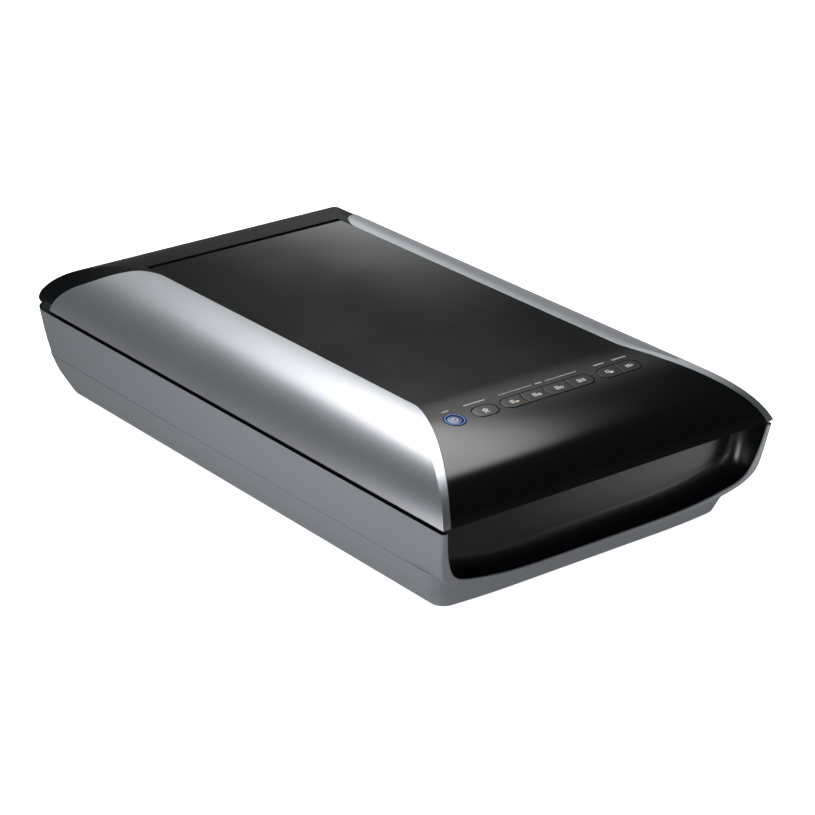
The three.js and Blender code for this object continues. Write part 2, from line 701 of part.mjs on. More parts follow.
function powerCap() {
  const cap = rod('z', POWER_KEY.r, -5, 0.5, POWER_KEY.x, 0, 28);
  return cap.add(rod('z', 1.6, -BOARD_DROP + 1.2, -4, POWER_KEY.x, 0, 12));
}

function powerRing() {
  const ring = rod('z', POWER_KEY.ringOuter, -5, 0.5, POWER_KEY.x, 0, 28);
  return ring.subtract(rod('z', POWER_KEY.ringInner, -8, 4, POWER_KEY.x, 0, 28));
}

// ---------------------------------------------------------------- assembly

const scanner = new THREE.Group();
const lowerCase = new THREE.Group();
const drive = new THREE.Group();
const carriage = new THREE.Group();
const hinge = new THREE.Group();
const lid = new THREE.Group();
const keyboard = new THREE.Group();
keyboard.position.set(0, BUTTON_Y, BUTTON_Z);
keyboard.rotation.x = BUTTON_TILT;
scanner.add(lowerCase, drive, carriage, hinge, lid);
lid.add(keyboard);

function place(group, name, solid, material) {
  const mesh = new THREE.Mesh(toGeometry(solid), material());
  mesh.name = name;
  group.add(mesh);
}

place(lowerCase, 'base_tub', baseTub(), FINISH.caseGrey);
place(lowerCase, 'front_bay', frontBay(), FINISH.satinBlack);
place(lowerCase, 'top_frame', topFrame(), FINISH.innerBlack);
place(lowerCase, 'platen_glass', platenGlass(), FINISH.glass);
place(lowerCase, 'calibration_strip', calibrationStrip(), FINISH.white);
place(lowerCase, 'lock_switch', lockSwitch(), FINISH.satinBlack);
for (const [name, x, y] of FEET) place(lowerCase, name, foot(x, y), FINISH.rubber);
for (const [name, x, y] of COLUMNS) place(lowerCase, name, caseScrew(x, y), FINISH.steel);
place(lowerCase, 'main_board', mainBoard(), FINISH.board);
place(lowerCase, 'usb_socket', usbSocket(), FINISH.steel);
place(lowerCase, 'power_jack', powerJack(), FINISH.innerBlack);

place(drive, 'guide_shaft', guideShaft(), FINISH.steel);
place(drive, 'support_rail', supportRail(), FINISH.nylon);
place(drive, 'drive_belt', driveBelt(), FINISH.rubber);
place(drive, 'drive_pulley_gear', drivePulleyGear(), FINISH.nylon);
place(drive, 'idler_pulley', idlerPulley(), FINISH.nylon);
place(drive, 'motor_pinion', motorPinion(), FINISH.brass);
place(drive, 'motor_body', motorBody(), FINISH.steel);
place(drive, 'motor_bracket', motorBracket(), FINISH.steel);

place(carriage, 'carriage_housing', carriageHousing(), FINISH.innerBlack);
place(carriage, 'mirror_lower', mirrorBar(-172, 29, 40), FINISH.mirror);
place(carriage, 'mirror_front', mirrorBar(-190, 36, -68), FINISH.mirror);
place(carriage, 'mirror_rear', mirrorBar(-148, 50, 62), FINISH.mirror);
place(carriage, 'lens_block', lensBlock(), FINISH.innerBlack);
place(carriage, 'ccd_board', ccdBoard(), FINISH.board);
place(carriage, 'light_bar', lightBar(), FINISH.white);
place(carriage, 'shaft_bushing', shaftBushing(), FINISH.brass);
place(carriage, 'belt_clamp', beltClamp(), FINISH.nylon);

for (const [word, side] of [['left', -1], ['right', 1]]) {
  place(hinge, `hinge_leg_${word}`, hingeLeg(side), FINISH.satinBlack);
  place(hinge, `hinge_pin_${word}`, hingePin(side), FINISH.steel);
  place(lid, `hinge_bracket_${word}`, hingeBracket(side), FINISH.steel);
  place(lid, `silver_side_${word}`, silverSide(side), FINISH.silver);
}
place(lid, 'gloss_top_panel', glossTopPanel(), FINISH.glossBlack);
place(lid, 'rear_cover', rearCover(), FINISH.satinBlack);
place(lid, 'lid_frame', lidFrame(), FINISH.innerBlack);
place(lid, 'film_light_panel', filmLightPanel(), FINISH.white);
place(lid, 'lamp_housing', lampHousing(), FINISH.white);
place(lid, 'lamp_bar', lampBar(), FINISH.white);
place(lid, 'cover_sheet', coverSheet(), FINISH.white);

place(keyboard, 'button_board', buttonBoard(), FINISH.board);
place(keyboard, 'button_power', powerCap(), FINISH.blueLight);
place(keyboard, 'power_light_ring', powerRing(), FINISH.blueLight);
for (const row of KEY_ROWS) {
  const edges = [row.from - 1, ...row.dividers, row.to + 1];
  row.names.forEach((name, i) => {
    const from = edges[i] + (i ? GAP : 0);
    const to = edges[i + 1] - (i < row.names.length - 1 ? GAP : 0);
    place(keyboard, name, keyCap(from, to, row), FINISH.keyBlack);
  });
}

export default scanner;
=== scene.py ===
import json
import math

import bmesh
import bpy
from mathutils import Matrix, Quaternion, Vector
from mathutils.geometry import delaunay_2d_cdt

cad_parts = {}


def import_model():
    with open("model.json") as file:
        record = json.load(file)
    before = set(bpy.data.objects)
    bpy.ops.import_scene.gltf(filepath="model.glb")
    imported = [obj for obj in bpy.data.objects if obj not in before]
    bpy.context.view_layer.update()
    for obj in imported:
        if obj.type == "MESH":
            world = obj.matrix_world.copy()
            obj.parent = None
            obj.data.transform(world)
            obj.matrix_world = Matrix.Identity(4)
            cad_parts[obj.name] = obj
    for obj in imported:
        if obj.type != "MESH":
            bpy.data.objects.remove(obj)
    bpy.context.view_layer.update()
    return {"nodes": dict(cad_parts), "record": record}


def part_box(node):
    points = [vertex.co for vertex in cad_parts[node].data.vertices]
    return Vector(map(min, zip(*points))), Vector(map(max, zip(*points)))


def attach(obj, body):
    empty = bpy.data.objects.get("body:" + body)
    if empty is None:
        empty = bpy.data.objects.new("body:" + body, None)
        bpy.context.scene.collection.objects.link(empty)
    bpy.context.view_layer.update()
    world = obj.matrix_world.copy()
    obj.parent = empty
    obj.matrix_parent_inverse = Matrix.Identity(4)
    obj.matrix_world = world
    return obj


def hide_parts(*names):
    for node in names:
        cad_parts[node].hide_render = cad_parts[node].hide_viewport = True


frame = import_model()

# Lengths below are in millimetres; MM turns them into Blender's metres.
MM = 0.001


# ---------------------------------------------------------------- sizes from the frame

def box_mm(node):
    low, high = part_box(node)
    return low / MM, high / MM


HALF_WIDTH = box_mm("silver_side_right")[1].x
LID_LOW = box_mm("silver_side_right")[0].z + 0.4
LID_TOP = box_mm("gloss_top_panel")[1].z
LID_FRONT = box_mm("gloss_top_panel")[0].y
GROOVE_FRONT = box_mm("gloss_top_panel")[1].y
RIM = box_mm("base_tub")[1].z - 0.6
TUB_LOW = box_mm("base_tub")[0].z
TUB_REAR = box_mm("base_tub")[1].y
BAY_TOP = box_mm("front_bay")[1].z
LID_REAR = box_mm("rear_cover")[1].y

# Half the width of a seam between two skins of the lid, and how far out the seam beside the flat panel lies.
SEAM = 0.15
FLAT_HALF = box_mm("silver_side_right")[0].x - SEAM

# The groove behind the panel, and the arc by which the panel's rear edge rolls down into it.
GROOVE_WIDTH = 3.8
GROOVE_REAR = GROOVE_FRONT + GROOVE_WIDTH
PANEL_ROLL = 1.5
ROLL_REACH = 0.9 * PANEL_ROLL
PANEL_FLAT_END = GROOVE_FRONT - ROLL_REACH

# The rear cover's flanks stand this share as far out from the shoulders' centre as the silver does.
COVER_NARROW = 0.955

# Wall thickness of each skin.
WALL = {"lid": 2.4, "cover": 2.0, "band": 1.1, "hull": 2.2, "bay": 1.0}

# Curves of the lid: the shoulders' arc, the front's and the rear's quarter ellipses.
SHOULDER = {"x": 85.5, "z": LID_TOP - 53.6, "r": 53.6}
FRONT_CURVE = {"y": -145, "z": 65.1, "a": 97.3, "b": 44}
REAR_CURVE = {"y": 160, "z": 65.1, "a": 80.5, "b": 44}

# The gloss panel widens to the lid's full width along its front curve.
FLARE = {"width": 46.8, "length": 95.5, "power": 1.33}

# Keys lie in a frame tilted with the panel, and their heights count from it. A slot's round ends have the
# radius KEY_SLOT. Its keys stand in from it by KEY_GAP, reach down to KEY_FOOT and dome up to KEY_CROWN.
BUTTON_Y = -174.4
BUTTON_TILT = math.radians(8.16)
KEY_SLOT = 6.5
KEY_GAP = 0.55
KEY_CROWN = 0.02
KEY_FOOT = -5
POWER = {"x": -75, "cap": 5.0, "ring_inner": 5.6, "ring_outer": 6.95, "hole": 7.5}

# Each slot: its left end, its right end, the gaps between its keys, and the keys.
KEY_ROWS = [
    (-60.5, -40.9, [], ["button_auto_scan"]),
    (-37.6, 37.5, [-18.2, -0.1, 18.4],
     ["button_pdf_colour", "button_pdf_mono", "button_pdf_custom", "button_pdf_finish"]),
    (42.4, 77.5, [59.9], ["button_copy", "button_email"]),
]

# The gap between two keys: half its width, how far it bows at each place, and the half height of the bow.
DIVIDER_HALF = 0.3
DIVIDER_BULGE = {-18.2: -1.6, -0.1: -1.6, 18.4: -0.5, 59.9: 0.0}
DIVIDER_REACH = 6.2

# Caption bars on the panel: the middle and the width of each.
CAPTION_Y = -163.2
CAPTIONS = {
    "power": (-74, 5.5), "auto_scan": (-51, 17), "pdf": (1.2, 6), "copy": (52, 9), "email": (69, 12),
}


# ---------------------------------------------------------------- small maths

def lerp(a, b, t):
    return a + (b - a) * t


def clamp(v, low=0.0, high=1.0):
    return max(low, min(high, v))


def smooth(t):
    t = clamp(t)
    return t * t * (3 - 2 * t)


def front_y(z):
    """Where the lid's front curve is at a height."""
    c = FRONT_CURVE
    return max(LID_FRONT, c["y"] - c["a"] * math.sqrt(max(0, 1 - ((z - c["z"]) / c["b"]) ** 2)))


def front_z(y):
    """The height of the lid's top and front curve."""
    c = FRONT_CURVE
    return c["z"] + c["b"] * math.sqrt(max(0, 1 - (min(0, y - c["y"]) / c["a"]) ** 2))


def rear_y(z):
    """Where the lid's rear curve is at a height."""
    c = REAR_CURVE
    return min(LID_REAR, c["y"] + c["a"] * math.sqrt(max(0, 1 - ((z - c["z"]) / c["b"]) ** 2)))


def panel_z(y):
    """The panel's height: its rear edge rolls down into the groove."""
    into_roll = (y - PANEL_FLAT_END) / PANEL_ROLL
    return front_z(y) - PANEL_ROLL * (1 - math.sqrt(1 - clamp(into_roll) ** 2))


def panel_half(y):
    """Half the width of the gap that the panel fills between the silver sides."""
    along = max(0, (FRONT_CURVE["y"] - y) / FLARE["length"])
    return FLAT_HALF + FLARE["width"] * along ** FLARE["power"]


def shoulder(angle):
    """A point (x, z) on the right shoulder's arc, at an angle above level."""
    t = math.radians(angle)
    return SHOULDER["x"] + SHOULDER["r"] * math.cos(t), SHOULDER["z"] + SHOULDER["r"] * math.sin(t)


SHOULDER_LOW = math.degrees(math.asin((LID_LOW - SHOULDER["z"]) / SHOULDER["r"]))


def curve_through(points, steps=10):
    """A smooth line of points through the given ones."""
    line = []
    ends = [points[0], *points, points[-1]]
    for i in range(1, len(ends) - 2):
        p0, p1, p2, p3 = (Vector(p) for p in ends[i - 1:i + 3])
        for k in range(steps):
            t = k / steps
            line.append(0.5 * (2 * p1 + (p2 - p0) * t + (2 * p0 - 5 * p1 + 4 * p2 - p3) * t * t
                               + (3 * p1 - p0 - 3 * p2 + p3) * t ** 3))
    return [*line, Vector(points[-1])]


# The rear edge of a silver side in plan: it leaves the panel's edge in a soft corner and falls away.
SILVER_REAR = curve_through([
    (FLAT_HALF, 141), (FLAT_HALF + 1.4, 149), (91, 161.4), (103.9, 172.2), (115.7, 184.2), (125.4, 199.4),
    (130.4, 206.9), (134.3, 211), (HALF_WIDTH, 211.5),
])


def silver_rear_y(x):
    """Where a silver side ends at the rear, at a distance from the middle."""
    for a, b in zip(SILVER_REAR, SILVER_REAR[1:]):
        if x <= b.x:
            return lerp(a.y, b.y, clamp((x - a.x) / max(1e-6, b.x - a.x)))
    return SILVER_REAR[-1].y


def spread_evenly(line, count):
    """count + 1 points at equal steps along a line of points."""
    length = [0.0]
    for a, b in zip(line, line[1:]):
        length.append(length[-1] + (b - a).length)
    out = []
    k = 0
    for i in range(count + 1):
        target = length[-1] * i / count
        while k < len(line) - 2 and length[k + 1] < target:
            k += 1
        t = clamp((target - length[k]) / max(1e-9, length[k + 1] - length[k]))
        out.append(line[k].lerp(line[k + 1], t))
    return out


# ---------------------------------------------------------------- meshes

class Skin:
    """Points in millimetres and faces, gathered sheet by sheet."""

    def __init__(self):
        self.points = []
        self.faces = []

    def sheet(self, rows, closed=False):
        start = len(self.points)
        width = len(rows[0])
        for row in rows:
            self.points.extend(row)
        for i in range(len(rows) - 1):
            for j in range(width if closed else width - 1):
                a = start + i * width + j
                b = start + i * width + (j + 1) % width
                self.faces.append((a, b, b + width, a + width))

    def cap(self, ring):
        start = len(self.points)
        self.points.extend(ring)
        self.faces.append(tuple(range(start, start + len(ring))))

    def triangles(self, points, faces):
        start = len(self.points)
        self.points.extend(points)
        self.faces.extend(tuple(start + i for i in f) for f in faces)


def make_object(name, skin, outward_from, merge=0.01):
    """The skin as a mesh object: doubles merged, faces pointing away from a point inside if one is given."""
    bm = bmesh.new()
    verts = [bm.verts.new(Vector(p) * MM) for p in skin.points]
    for f in skin.faces:
        if len(set(f)) > 2:
            bm.faces.new([verts[i] for i in f])
    bmesh.ops.remove_doubles(bm, verts=bm.verts, dist=merge * MM)
    bmesh.ops.dissolve_degenerate(bm, edges=bm.edges, dist=merge * MM)
    bmesh.ops.recalc_face_normals(bm, faces=bm.faces)
    if outward_from is not None:
        centre = Vector(outward_from) * MM
        total = sum(f.normal.dot(f.calc_center_median() - centre) * f.calc_area() for f in bm.faces)
        if total < 0:
            bmesh.ops.reverse_faces(bm, faces=bm.faces)
    mesh = bpy.data.meshes.new(name)
    bm.to_mesh(mesh)
    bm.free()
    obj = bpy.data.objects.new(name, mesh)
    bpy.context.scene.collection.objects.link(obj)
    return obj


def thicken(obj, thickness):
    """Gives a skin its wall, on the inside."""
    m = obj.modifiers.new("wall", "SOLIDIFY")
    m.thickness = thickness * MM
    m.offset = -1
    m.use_even_offset = True


def round_edges(obj, radius, angle, segments=3):
    m = obj.modifiers.new("edges", "BEVEL")
    m.width = radius * MM
    m.segments = segments
    m.limit_method = "ANGLE"
    m.angle_limit = math.radians(angle)


def cut(obj, cutters):
    for i, cutter in enumerate(cutters):
        m = obj.modifiers.new(f"cut{i}", "BOOLEAN")
        m.operation = "DIFFERENCE"
        m.solver = "EXACT"
        m.object = cutter


def settle(obj, sharp=40, scratch=()):
    """Applies the modifiers, shades smooth with edges kept sharp above an angle, and drops the cutters."""
    bpy.context.view_layer.update()
    graph = bpy.context.evaluated_depsgraph_get()
    mesh = bpy.data.meshes.new_from_object(obj.evaluated_get(graph))
    obj.modifiers.clear()
    obj.data = mesh
    mesh.shade_smooth()
    mesh.set_sharp_from_angle(angle=math.radians(sharp))
    for other in scratch:
        bpy.data.objects.remove(other)
    weighted = obj.modifiers.new("normals", "WEIGHTED_NORMAL")
    weighted.keep_sharp = True
    return obj


def give(obj, material, body, stands_for=()):
    """Material, body and slot for a finished piece."""
    obj.data.materials.clear()
    obj.data.materials.append(material)
    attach(obj, body)
    if stands_for:
        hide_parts(*stands_for)


def paint_shade(obj, chosen):
    """Paints the chosen faces, those in a gap, with painted shade: a black that returns almost no light,
    standing in for the shade that falls there.
    """
    obj.data.materials.append(MATERIAL["painted_shade_black"])
    for face in obj.data.polygons:
        if chosen(face.center / MM, face.normal):
            face.material_index = 1


def block(name, x0, x1, y0, y1, z0, z1):
    """A plain box."""
    skin = Skin()
    ring = [(x0, y0), (x1, y0), (x1, y1), (x0, y1)]
    low = [(x, y, z0) for x, y in ring]
    high = [(x, y, z1) for x, y in ring]
    skin.sheet([low, high], closed=True)
    skin.cap(low)
    skin.cap(high)
    return make_object(name, skin, ((x0 + x1) / 2, (y0 + y1) / 2, (z0 + z1) / 2))


def prism_y(name, outline, y0, y1):
    """A prism along Y over an outline of (x, z) points, used as a cutter."""
    skin = Skin()
    rows = [[(x, y, z) for x, z in outline] for y in (y0, y1)]
    skin.sheet(rows, closed=True)
    skin.cap(rows[0])
    skin.cap(rows[1])
    x = sum(p[0] for p in outline) / len(outline)
    z = sum(p[1] for p in outline) / len(outline)
    return make_object(name, skin, (x, (y0 + y1) / 2, z))


# ---------------------------------------------------------------- materials

def add(tree, kind, **inputs):
    """A shader node with its inputs set."""
    node = tree.nodes.new(kind)
    for key, value in inputs.items():
        node.inputs[key].default_value = value
    return node


def plastic(name, colour, roughness, metallic=0.0, grain=900.0, bump=0.06, rough_span=0.06,
            tint_span=0.05, specular=0.5):
    """A moulded or painted surface: fine grain in bump and tone, and a slow drift in gloss."""
    material = bpy.data.materials.new(name)
    material.use_nodes = True
    tree = material.node_tree
    shader = tree.nodes["Principled BSDF"]
    shader.inputs["Metallic"].default_value = metallic
    shader.inputs["Specular IOR Level"].default_value = specular
    place = tree.nodes.new("ShaderNodeTexCoord")
    fine = add(tree, "ShaderNodeTexNoise", Scale=grain, Detail=3.0, Roughness=0.6)
    slow = add(tree, "ShaderNodeTexNoise", Scale=14.0, Detail=2.0, Roughness=0.5)
    tree.links.new(place.outputs["Object"], fine.inputs["Vector"])
    tree.links.new(place.outputs["Object"], slow.inputs["Vector"])
    gloss = add(tree, "ShaderNodeMapRange", **{
        "From Min": 0.3, "From Max": 0.7,
        "To Min": roughness * (1 - rough_span), "To Max": roughness * (1 + rough_span)})
    tree.links.new(slow.outputs["Fac"], gloss.inputs["Value"])
    tree.links.new(gloss.outputs["Result"], shader.inputs["Roughness"])
    mix = tree.nodes.new("ShaderNodeMix")
    mix.data_type = "RGBA"
    share, first, second = mix.inputs[0], mix.inputs[6], mix.inputs[7]
    mixed = mix.outputs[2]
    first.default_value = (*[c * (1 - tint_span) for c in colour], 1)
    second.default_value = (*[min(1, c * (1 + tint_span)) for c in colour], 1)
    tree.links.new(fine.outputs["Fac"], share)
    tree.links.new(mixed, shader.inputs["Base Color"])
    if bump:
        relief = add(tree, "ShaderNodeBump", Strength=bump, Distance=0.0002)
        tree.links.new(fine.outputs["Fac"], relief.inputs["Height"])
        tree.links.new(relief.outputs["Normal"], shader.inputs["Normal"])
    return material


def glass(name):
    """Clear glass with a faint green cast."""
    material = plastic(name, (0.9, 0.97, 0.95), 0.02, bump=0.0, rough_span=0.3)
    shader = material.node_tree.nodes["Principled BSDF"]
    shader.inputs["Transmission Weight"].default_value = 1.0
    shader.inputs["IOR"].default_value = 1.5
    return material


def lit(material, colour, strength):
    """Makes a material glow."""
    shader = material.node_tree.nodes["Principled BSDF"]
    shader.inputs["Emission Color"].default_value = (*colour, 1)
    shader.inputs["Emission Strength"].default_value = strength
    return material


MATERIAL = {
    "case_grey": plastic("case_grey", (0.33, 0.35, 0.37), 0.46, metallic=0.25, grain=1500, bump=0.05),
    "silver_paint": plastic("silver_paint", (0.5, 0.51, 0.54), 0.34, metallic=0.85, grain=2600, bump=0.08,
                            rough_span=0.05, tint_span=0.09),
    "gloss_black": plastic("gloss_black", (0.004, 0.004, 0.0045), 0.14, grain=700, bump=0.004,
                           rough_span=0.12),
    "satin_black": plastic("satin_black", (0.004, 0.004, 0.0045), 0.4, grain=1800, bump=0.08,
                           specular=0.08),
    "bay_black": plastic("bay_black", (0.005, 0.005, 0.006), 0.26, grain=1500, bump=0.05),
    "inner_black": plastic("inner_black", (0.014, 0.014, 0.015), 0.6, grain=1200, bump=0.15),
    # This black is painted shade: it is laid on faces in gaps and grooves in place of the shade that falls
    # there.
    "painted_shade_black": plastic("painted_shade_black", (0.003, 0.003, 0.003), 0.8, grain=1200, bump=0.1, specular=0.1),
    "key_black": plastic("key_black", (0.012, 0.012, 0.014), 0.16, grain=900, bump=0.01),
    "blue_light": lit(plastic("blue_light", (0.02, 0.1, 0.32), 0.3, grain=900, bump=0.02),
                      (0.03, 0.16, 0.55), 0.3),
    "blue_key": lit(plastic("blue_key", (0.01, 0.04, 0.16), 0.2, grain=900, bump=0.01),
                    (0.02, 0.07, 0.4), 0.12),
    "platen_glass": glass("platen_glass"),
    "white_plastic": plastic("white_plastic", (0.76, 0.76, 0.74), 0.5, grain=1000, bump=0.06),
    "diffuser": plastic("diffuser", (0.82, 0.83, 0.82), 0.42, grain=600, bump=0.03),
    "sheet_white": plastic("sheet_white", (0.8, 0.8, 0.78), 0.75, grain=700, bump=0.25),
    "steel": plastic("steel", (0.56, 0.57, 0.58), 0.3, metallic=1.0, grain=1600, bump=0.05),
    "nickel": plastic("nickel", (0.6, 0.58, 0.54), 0.25, metallic=1.0, grain=1600, bump=0.04),
    "brass": plastic("brass", (0.55, 0.38, 0.16), 0.33, metallic=1.0, grain=1600, bump=0.05),
    "rubber": plastic("rubber", (0.014, 0.014, 0.014), 0.8, grain=1300, bump=0.3),
    "nylon": plastic("nylon", (0.72, 0.69, 0.6), 0.48, grain=1000, bump=0.08),
    "circuit_board": plastic("circuit_board", (0.02, 0.11, 0.05), 0.45, grain=400, bump=0.3,
                             tint_span=0.3),
    "mirror": plastic("mirror", (0.86, 0.88, 0.9), 0.03, metallic=1.0, grain=300, bump=0.0,
                      rough_span=0.3),
    "icon_grey": plastic("icon_grey", (0.62, 0.62, 0.6), 0.45, grain=1500, bump=0.03),
    "icon_accent": plastic("icon_accent", (0.75, 0.5, 0.3), 0.45, grain=1500, bump=0.03),
    "caption_grey": plastic("caption_grey", (0.32, 0.32, 0.33), 0.45, grain=1500, bump=0.03),
}


# ---------------------------------------------------------------- lid: silver sides

def silver_side(word, side):
    """A shoulder: its arc along the lid, the facet across its front end, and its flat strip on top."""
    skin = Skin()
    facet_steps = [0, 0.3, 0.65, 1]
    levels = 44
    along = 40
    rows = []
    for i in range(levels + 1):
        x, z = shoulder(lerp(90, SHOULDER_LOW, i / levels))
        y0, y1 = front_y(z), silver_rear_y(x)
        inner = panel_half(y0) + SEAM
        row = [(side * lerp(inner, x, t), y0, z) for t in facet_steps[:-1]]
        row += [(side * x, lerp(y0, y1, j / along), z) for j in range(along + 1)]
        rows.append(row)
    skin.sheet(rows)
    strip = []
    for t in facet_steps:
        x = lerp(FLAT_HALF + SEAM, SHOULDER["x"], t)
        strip.append([(side * x, lerp(front_y(LID_TOP), silver_rear_y(x), j / along), LID_TOP)
                      for j in range(along + 1)])
    skin.sheet(strip)
    obj = make_object(f"silver_side_{word}_skin", skin, (side * 60, 0, 40))
    thicken(obj, WALL["lid"])
    round_edges(obj, 0.55, angle=24)
    settle(obj, 38)
    give(obj, MATERIAL["silver_paint"], "lid", [f"silver_side_{word}"])


# ---------------------------------------------------------------- lid: gloss panel

def slot_outline(x0, x1, r, steps=14):
    """A stadium in the keys' own plane, as (u, v) points."""
    points = []
    for i in range(steps + 1):
        t = math.radians(-90 + 180 * i / steps)
        points.append((x1 - r + r * math.cos(t), r * math.sin(t)))
    for i in range(steps + 1):
        t = math.radians(90 + 180 * i / steps)
        points.append((x0 + r + r * math.cos(t), r * math.sin(t)))
    return points


def in_slot(x, v, x0, x1, r):
    """Whether a point lies inside a slot."""
    nearest = clamp(x, x0 + r, x1 - r)
    return math.hypot(x - nearest, v) < r


def panel_rows():
    """The panel's cross lines: dense round the front curve, sparse on the flat, dense in the rear roll."""
    rows = []
    bends = 60
    end = math.asin((FRONT_CURVE["y"] - LID_FRONT) / FRONT_CURVE["a"])
    for i in range(bends + 1):
        rows.append(FRONT_CURVE["y"] - FRONT_CURVE["a"] * math.sin(end * (1 - i / bends)))
    rows += [lerp(FRONT_CURVE["y"], PANEL_FLAT_END, i / 6) for i in range(1, 7)]
    rows += [PANEL_FLAT_END + ROLL_REACH * math.sin(math.radians(15 * k)) for k in range(1, 7)]
    return rows


def gloss_panel():
    """The panel is triangulated flat, with holes for the keys, and then laid on the lid's curve."""
    points = []
    edges = []
    rows = panel_rows()
    for y in rows:
        half = panel_half(y) - SEAM
        points += [Vector((-half, y)), Vector((half, y))]
    count = len(rows)
    for i in range(count):
        edges.append((2 * i, 2 * i + 1))
    outer = [2 * i + 1 for i in range(count)] + [2 * i for i in reversed(range(count))]
    holes = [(x0, x1, KEY_SLOT) for x0, x1, _, _ in KEY_ROWS]
    hole_r = POWER["hole"]
    holes.append((POWER["x"] - hole_r, POWER["x"] + hole_r, hole_r))
    squeeze = math.cos(BUTTON_TILT)
    for x0, x1, r in holes:
        start = len(points)
        outline = slot_outline(x0, x1, r)
        points += [Vector((u, BUTTON_Y + v * squeeze)) for u, v in outline]
        n = len(outline)
        edges += [(start + k, start + (k + 1) % n) for k in range(n)]
    verts, _, faces, _, _, _ = delaunay_2d_cdt(points, edges, [outer], 1, 1e-4)
    kept = []
    for f in faces:
        cx = sum(verts[i].x for i in f) / len(f)
        cy = sum(verts[i].y for i in f) / len(f)
        if not any(in_slot(cx, (cy - BUTTON_Y) / squeeze, *hole) for hole in holes):
            kept.append(f)
    skin = Skin()
    skin.triangles([(v.x, v.y, panel_z(v.y)) for v in verts], kept)
    obj = make_object("gloss_top_skin", skin, (0, 0, 40), merge=0.002)
    thicken(obj, WALL["lid"])
    round_edges(obj, 0.22, angle=50)
    settle(obj, 38)
    give(obj, MATERIAL["gloss_black"], "lid", ["gloss_top_panel"])
    # Painted shade: the walls of the key holes are painted black, for the shade inside them.
    near_keys = KEY_SLOT + 2
    paint_shade(obj, lambda c, n: abs(c.y - BUTTON_Y) < near_keys and abs(c.x) < FLAT_HALF and n.z < 0.9)


# ---------------------------------------------------------------- lid: rear cover

def cover_corner(z, depth):
    """Plan radius of the cover's rear corners: tight above, rounder towards the lid's edge."""
    return min(0.5 * depth, 3 + 2 * smooth((96 - z) / 26))


def cover_tuck(z):
    """How far the cover curls in towards the lid's lower edge."""
    curl_from, deepest = 84.0, 3.2
    curl = 1.05 * (LID_LOW - curl_from)
    return deepest * (1 - math.sqrt(max(0, 1 - (min(0, z - curl_from) / curl) ** 2)))


def rear_cover():
    """Rows run from the right flank round the corner to the middle, level by level from the top down."""
    skin = Skin()
    levels = 48
    # The upper rows start at the groove and step back, so that the thickened wall doesn't fold over it.
    step_back = 0.65
    flank = 4
    rows = []
    for i in range(levels + 1):
        outer_x, z = shoulder(lerp(90, SHOULDER_LOW, i / levels))
        tuck = cover_tuck(z)
        x = lerp(SHOULDER["x"], outer_x, COVER_NARROW) - tuck
        y0 = silver_rear_y(outer_x) + 2 * SEAM
        y1 = max(rear_y(z) - tuck, GROOVE_REAR + step_back * i)
        r = cover_corner(z, y1 - y0)
        half = [(x, lerp(y0, y1 - r, j / flank), z) for j in range(flank)]
        for j in range(11):
            t = math.radians(9 * j)
            half.append((x - r + r * math.cos(t), y1 - r + r * math.sin(t), z))
        half += [(lerp(x - r, 0, j / 6), y1, z) for j in range(1, 7)]
        rows.append(half)
    # Level rows on top close the gap between the shoulder's line and the panel's edge.
    corner_start = rows[0][flank][1]
    for t in (0.75, 0.5, 0.25, 0):
        x = lerp(FLAT_HALF + SEAM, SHOULDER["x"], t)
        y0 = silver_rear_y(x) + 2 * SEAM
        wedge = [(x, lerp(y0, corner_start, j / flank), LID_TOP) for j in range(flank)]
        rows.insert(0, wedge + [(min(px, x), py, pz) for px, py, pz in rows[0][flank:]])
    skin.sheet([row + [(-px, py, pz) for px, py, pz in reversed(row[:-1])] for row in rows])
    obj = make_object("rear_cover_skin", skin, (0, 100, 40))
    thicken(obj, WALL["cover"])
    notch = {"gap": 1, "front": 216, "rear": 260, "foot": 50, "top": 86.5}
    notches = []
    for word in ("left", "right"):
        low, high = box_mm("hinge_bracket_" + word)
        notches.append(block("notch", low.x - notch["gap"], high.x + notch["gap"],
                             notch["front"], notch["rear"], notch["foot"], notch["top"]))
    cut(obj, notches)
    round_edges(obj, 0.3, angle=40)
    settle(obj, 40, notches)
    give(obj, MATERIAL["satin_black"], "lid", ["rear_cover"])
    # Painted shade: the cover's wall facing the groove is painted black, for the shade in the groove.
    paint_shade(obj, lambda c, n: c.y < GROOVE_REAR + 0.3 and n.y < -0.3 and abs(c.x) < FLAT_HALF)


def groove():
    """Black blocks for the groove's floor and rear wall: painted shade that keeps the groove dark."""
    half = FLAT_HALF - 0.8
    foot, floor_top, wall_top = 103.6, 106.2, LID_TOP - 0.25
    for name, y0, y1, z1 in (("floor", GROOVE_FRONT - 4, GROOVE_REAR + 3.5, floor_top),
                             ("wall", GROOVE_REAR - 0.4, GROOVE_REAR + 0.6, wall_top)):
        black = block("groove_" + name, -half, half, y0, y1, foot, z1)
        settle(black)
        give(black, MATERIAL["painted_shade_black"], "lid")


# ---------------------------------------------------------------- lower case

# Right half of the front frame's outer and inner outline, as (x, z) from the rim down to the middle.
FRAME_OUTER = [
    (136, RIM), (135.3, 64.5), (134.5, 57), (133, 46), (131.3, 39), (128.3, 34.5), (123, 30.6), (117, 28),
    (110, 26.1), (99, 24.1), (81, 22.7), (50, 21.6), (0, 21.2),
]
FRAME_INNER = [
    (131.6, RIM), (131.4, 69), (129.4, 57), (127, 48), (123.4, 39.6), (118.5, 34.6), (112, 31.8), (103, 29.8),
    (84, 26.8), (62, 25.2), (35, 24.8), (0, 24.8),
]

# The crease runs along the case between the upper band and the hull. The band hangs a little past it.
CREASE = 36.0
BAND_FOOT = CREASE - 1
INNER_CREASE = 40.5

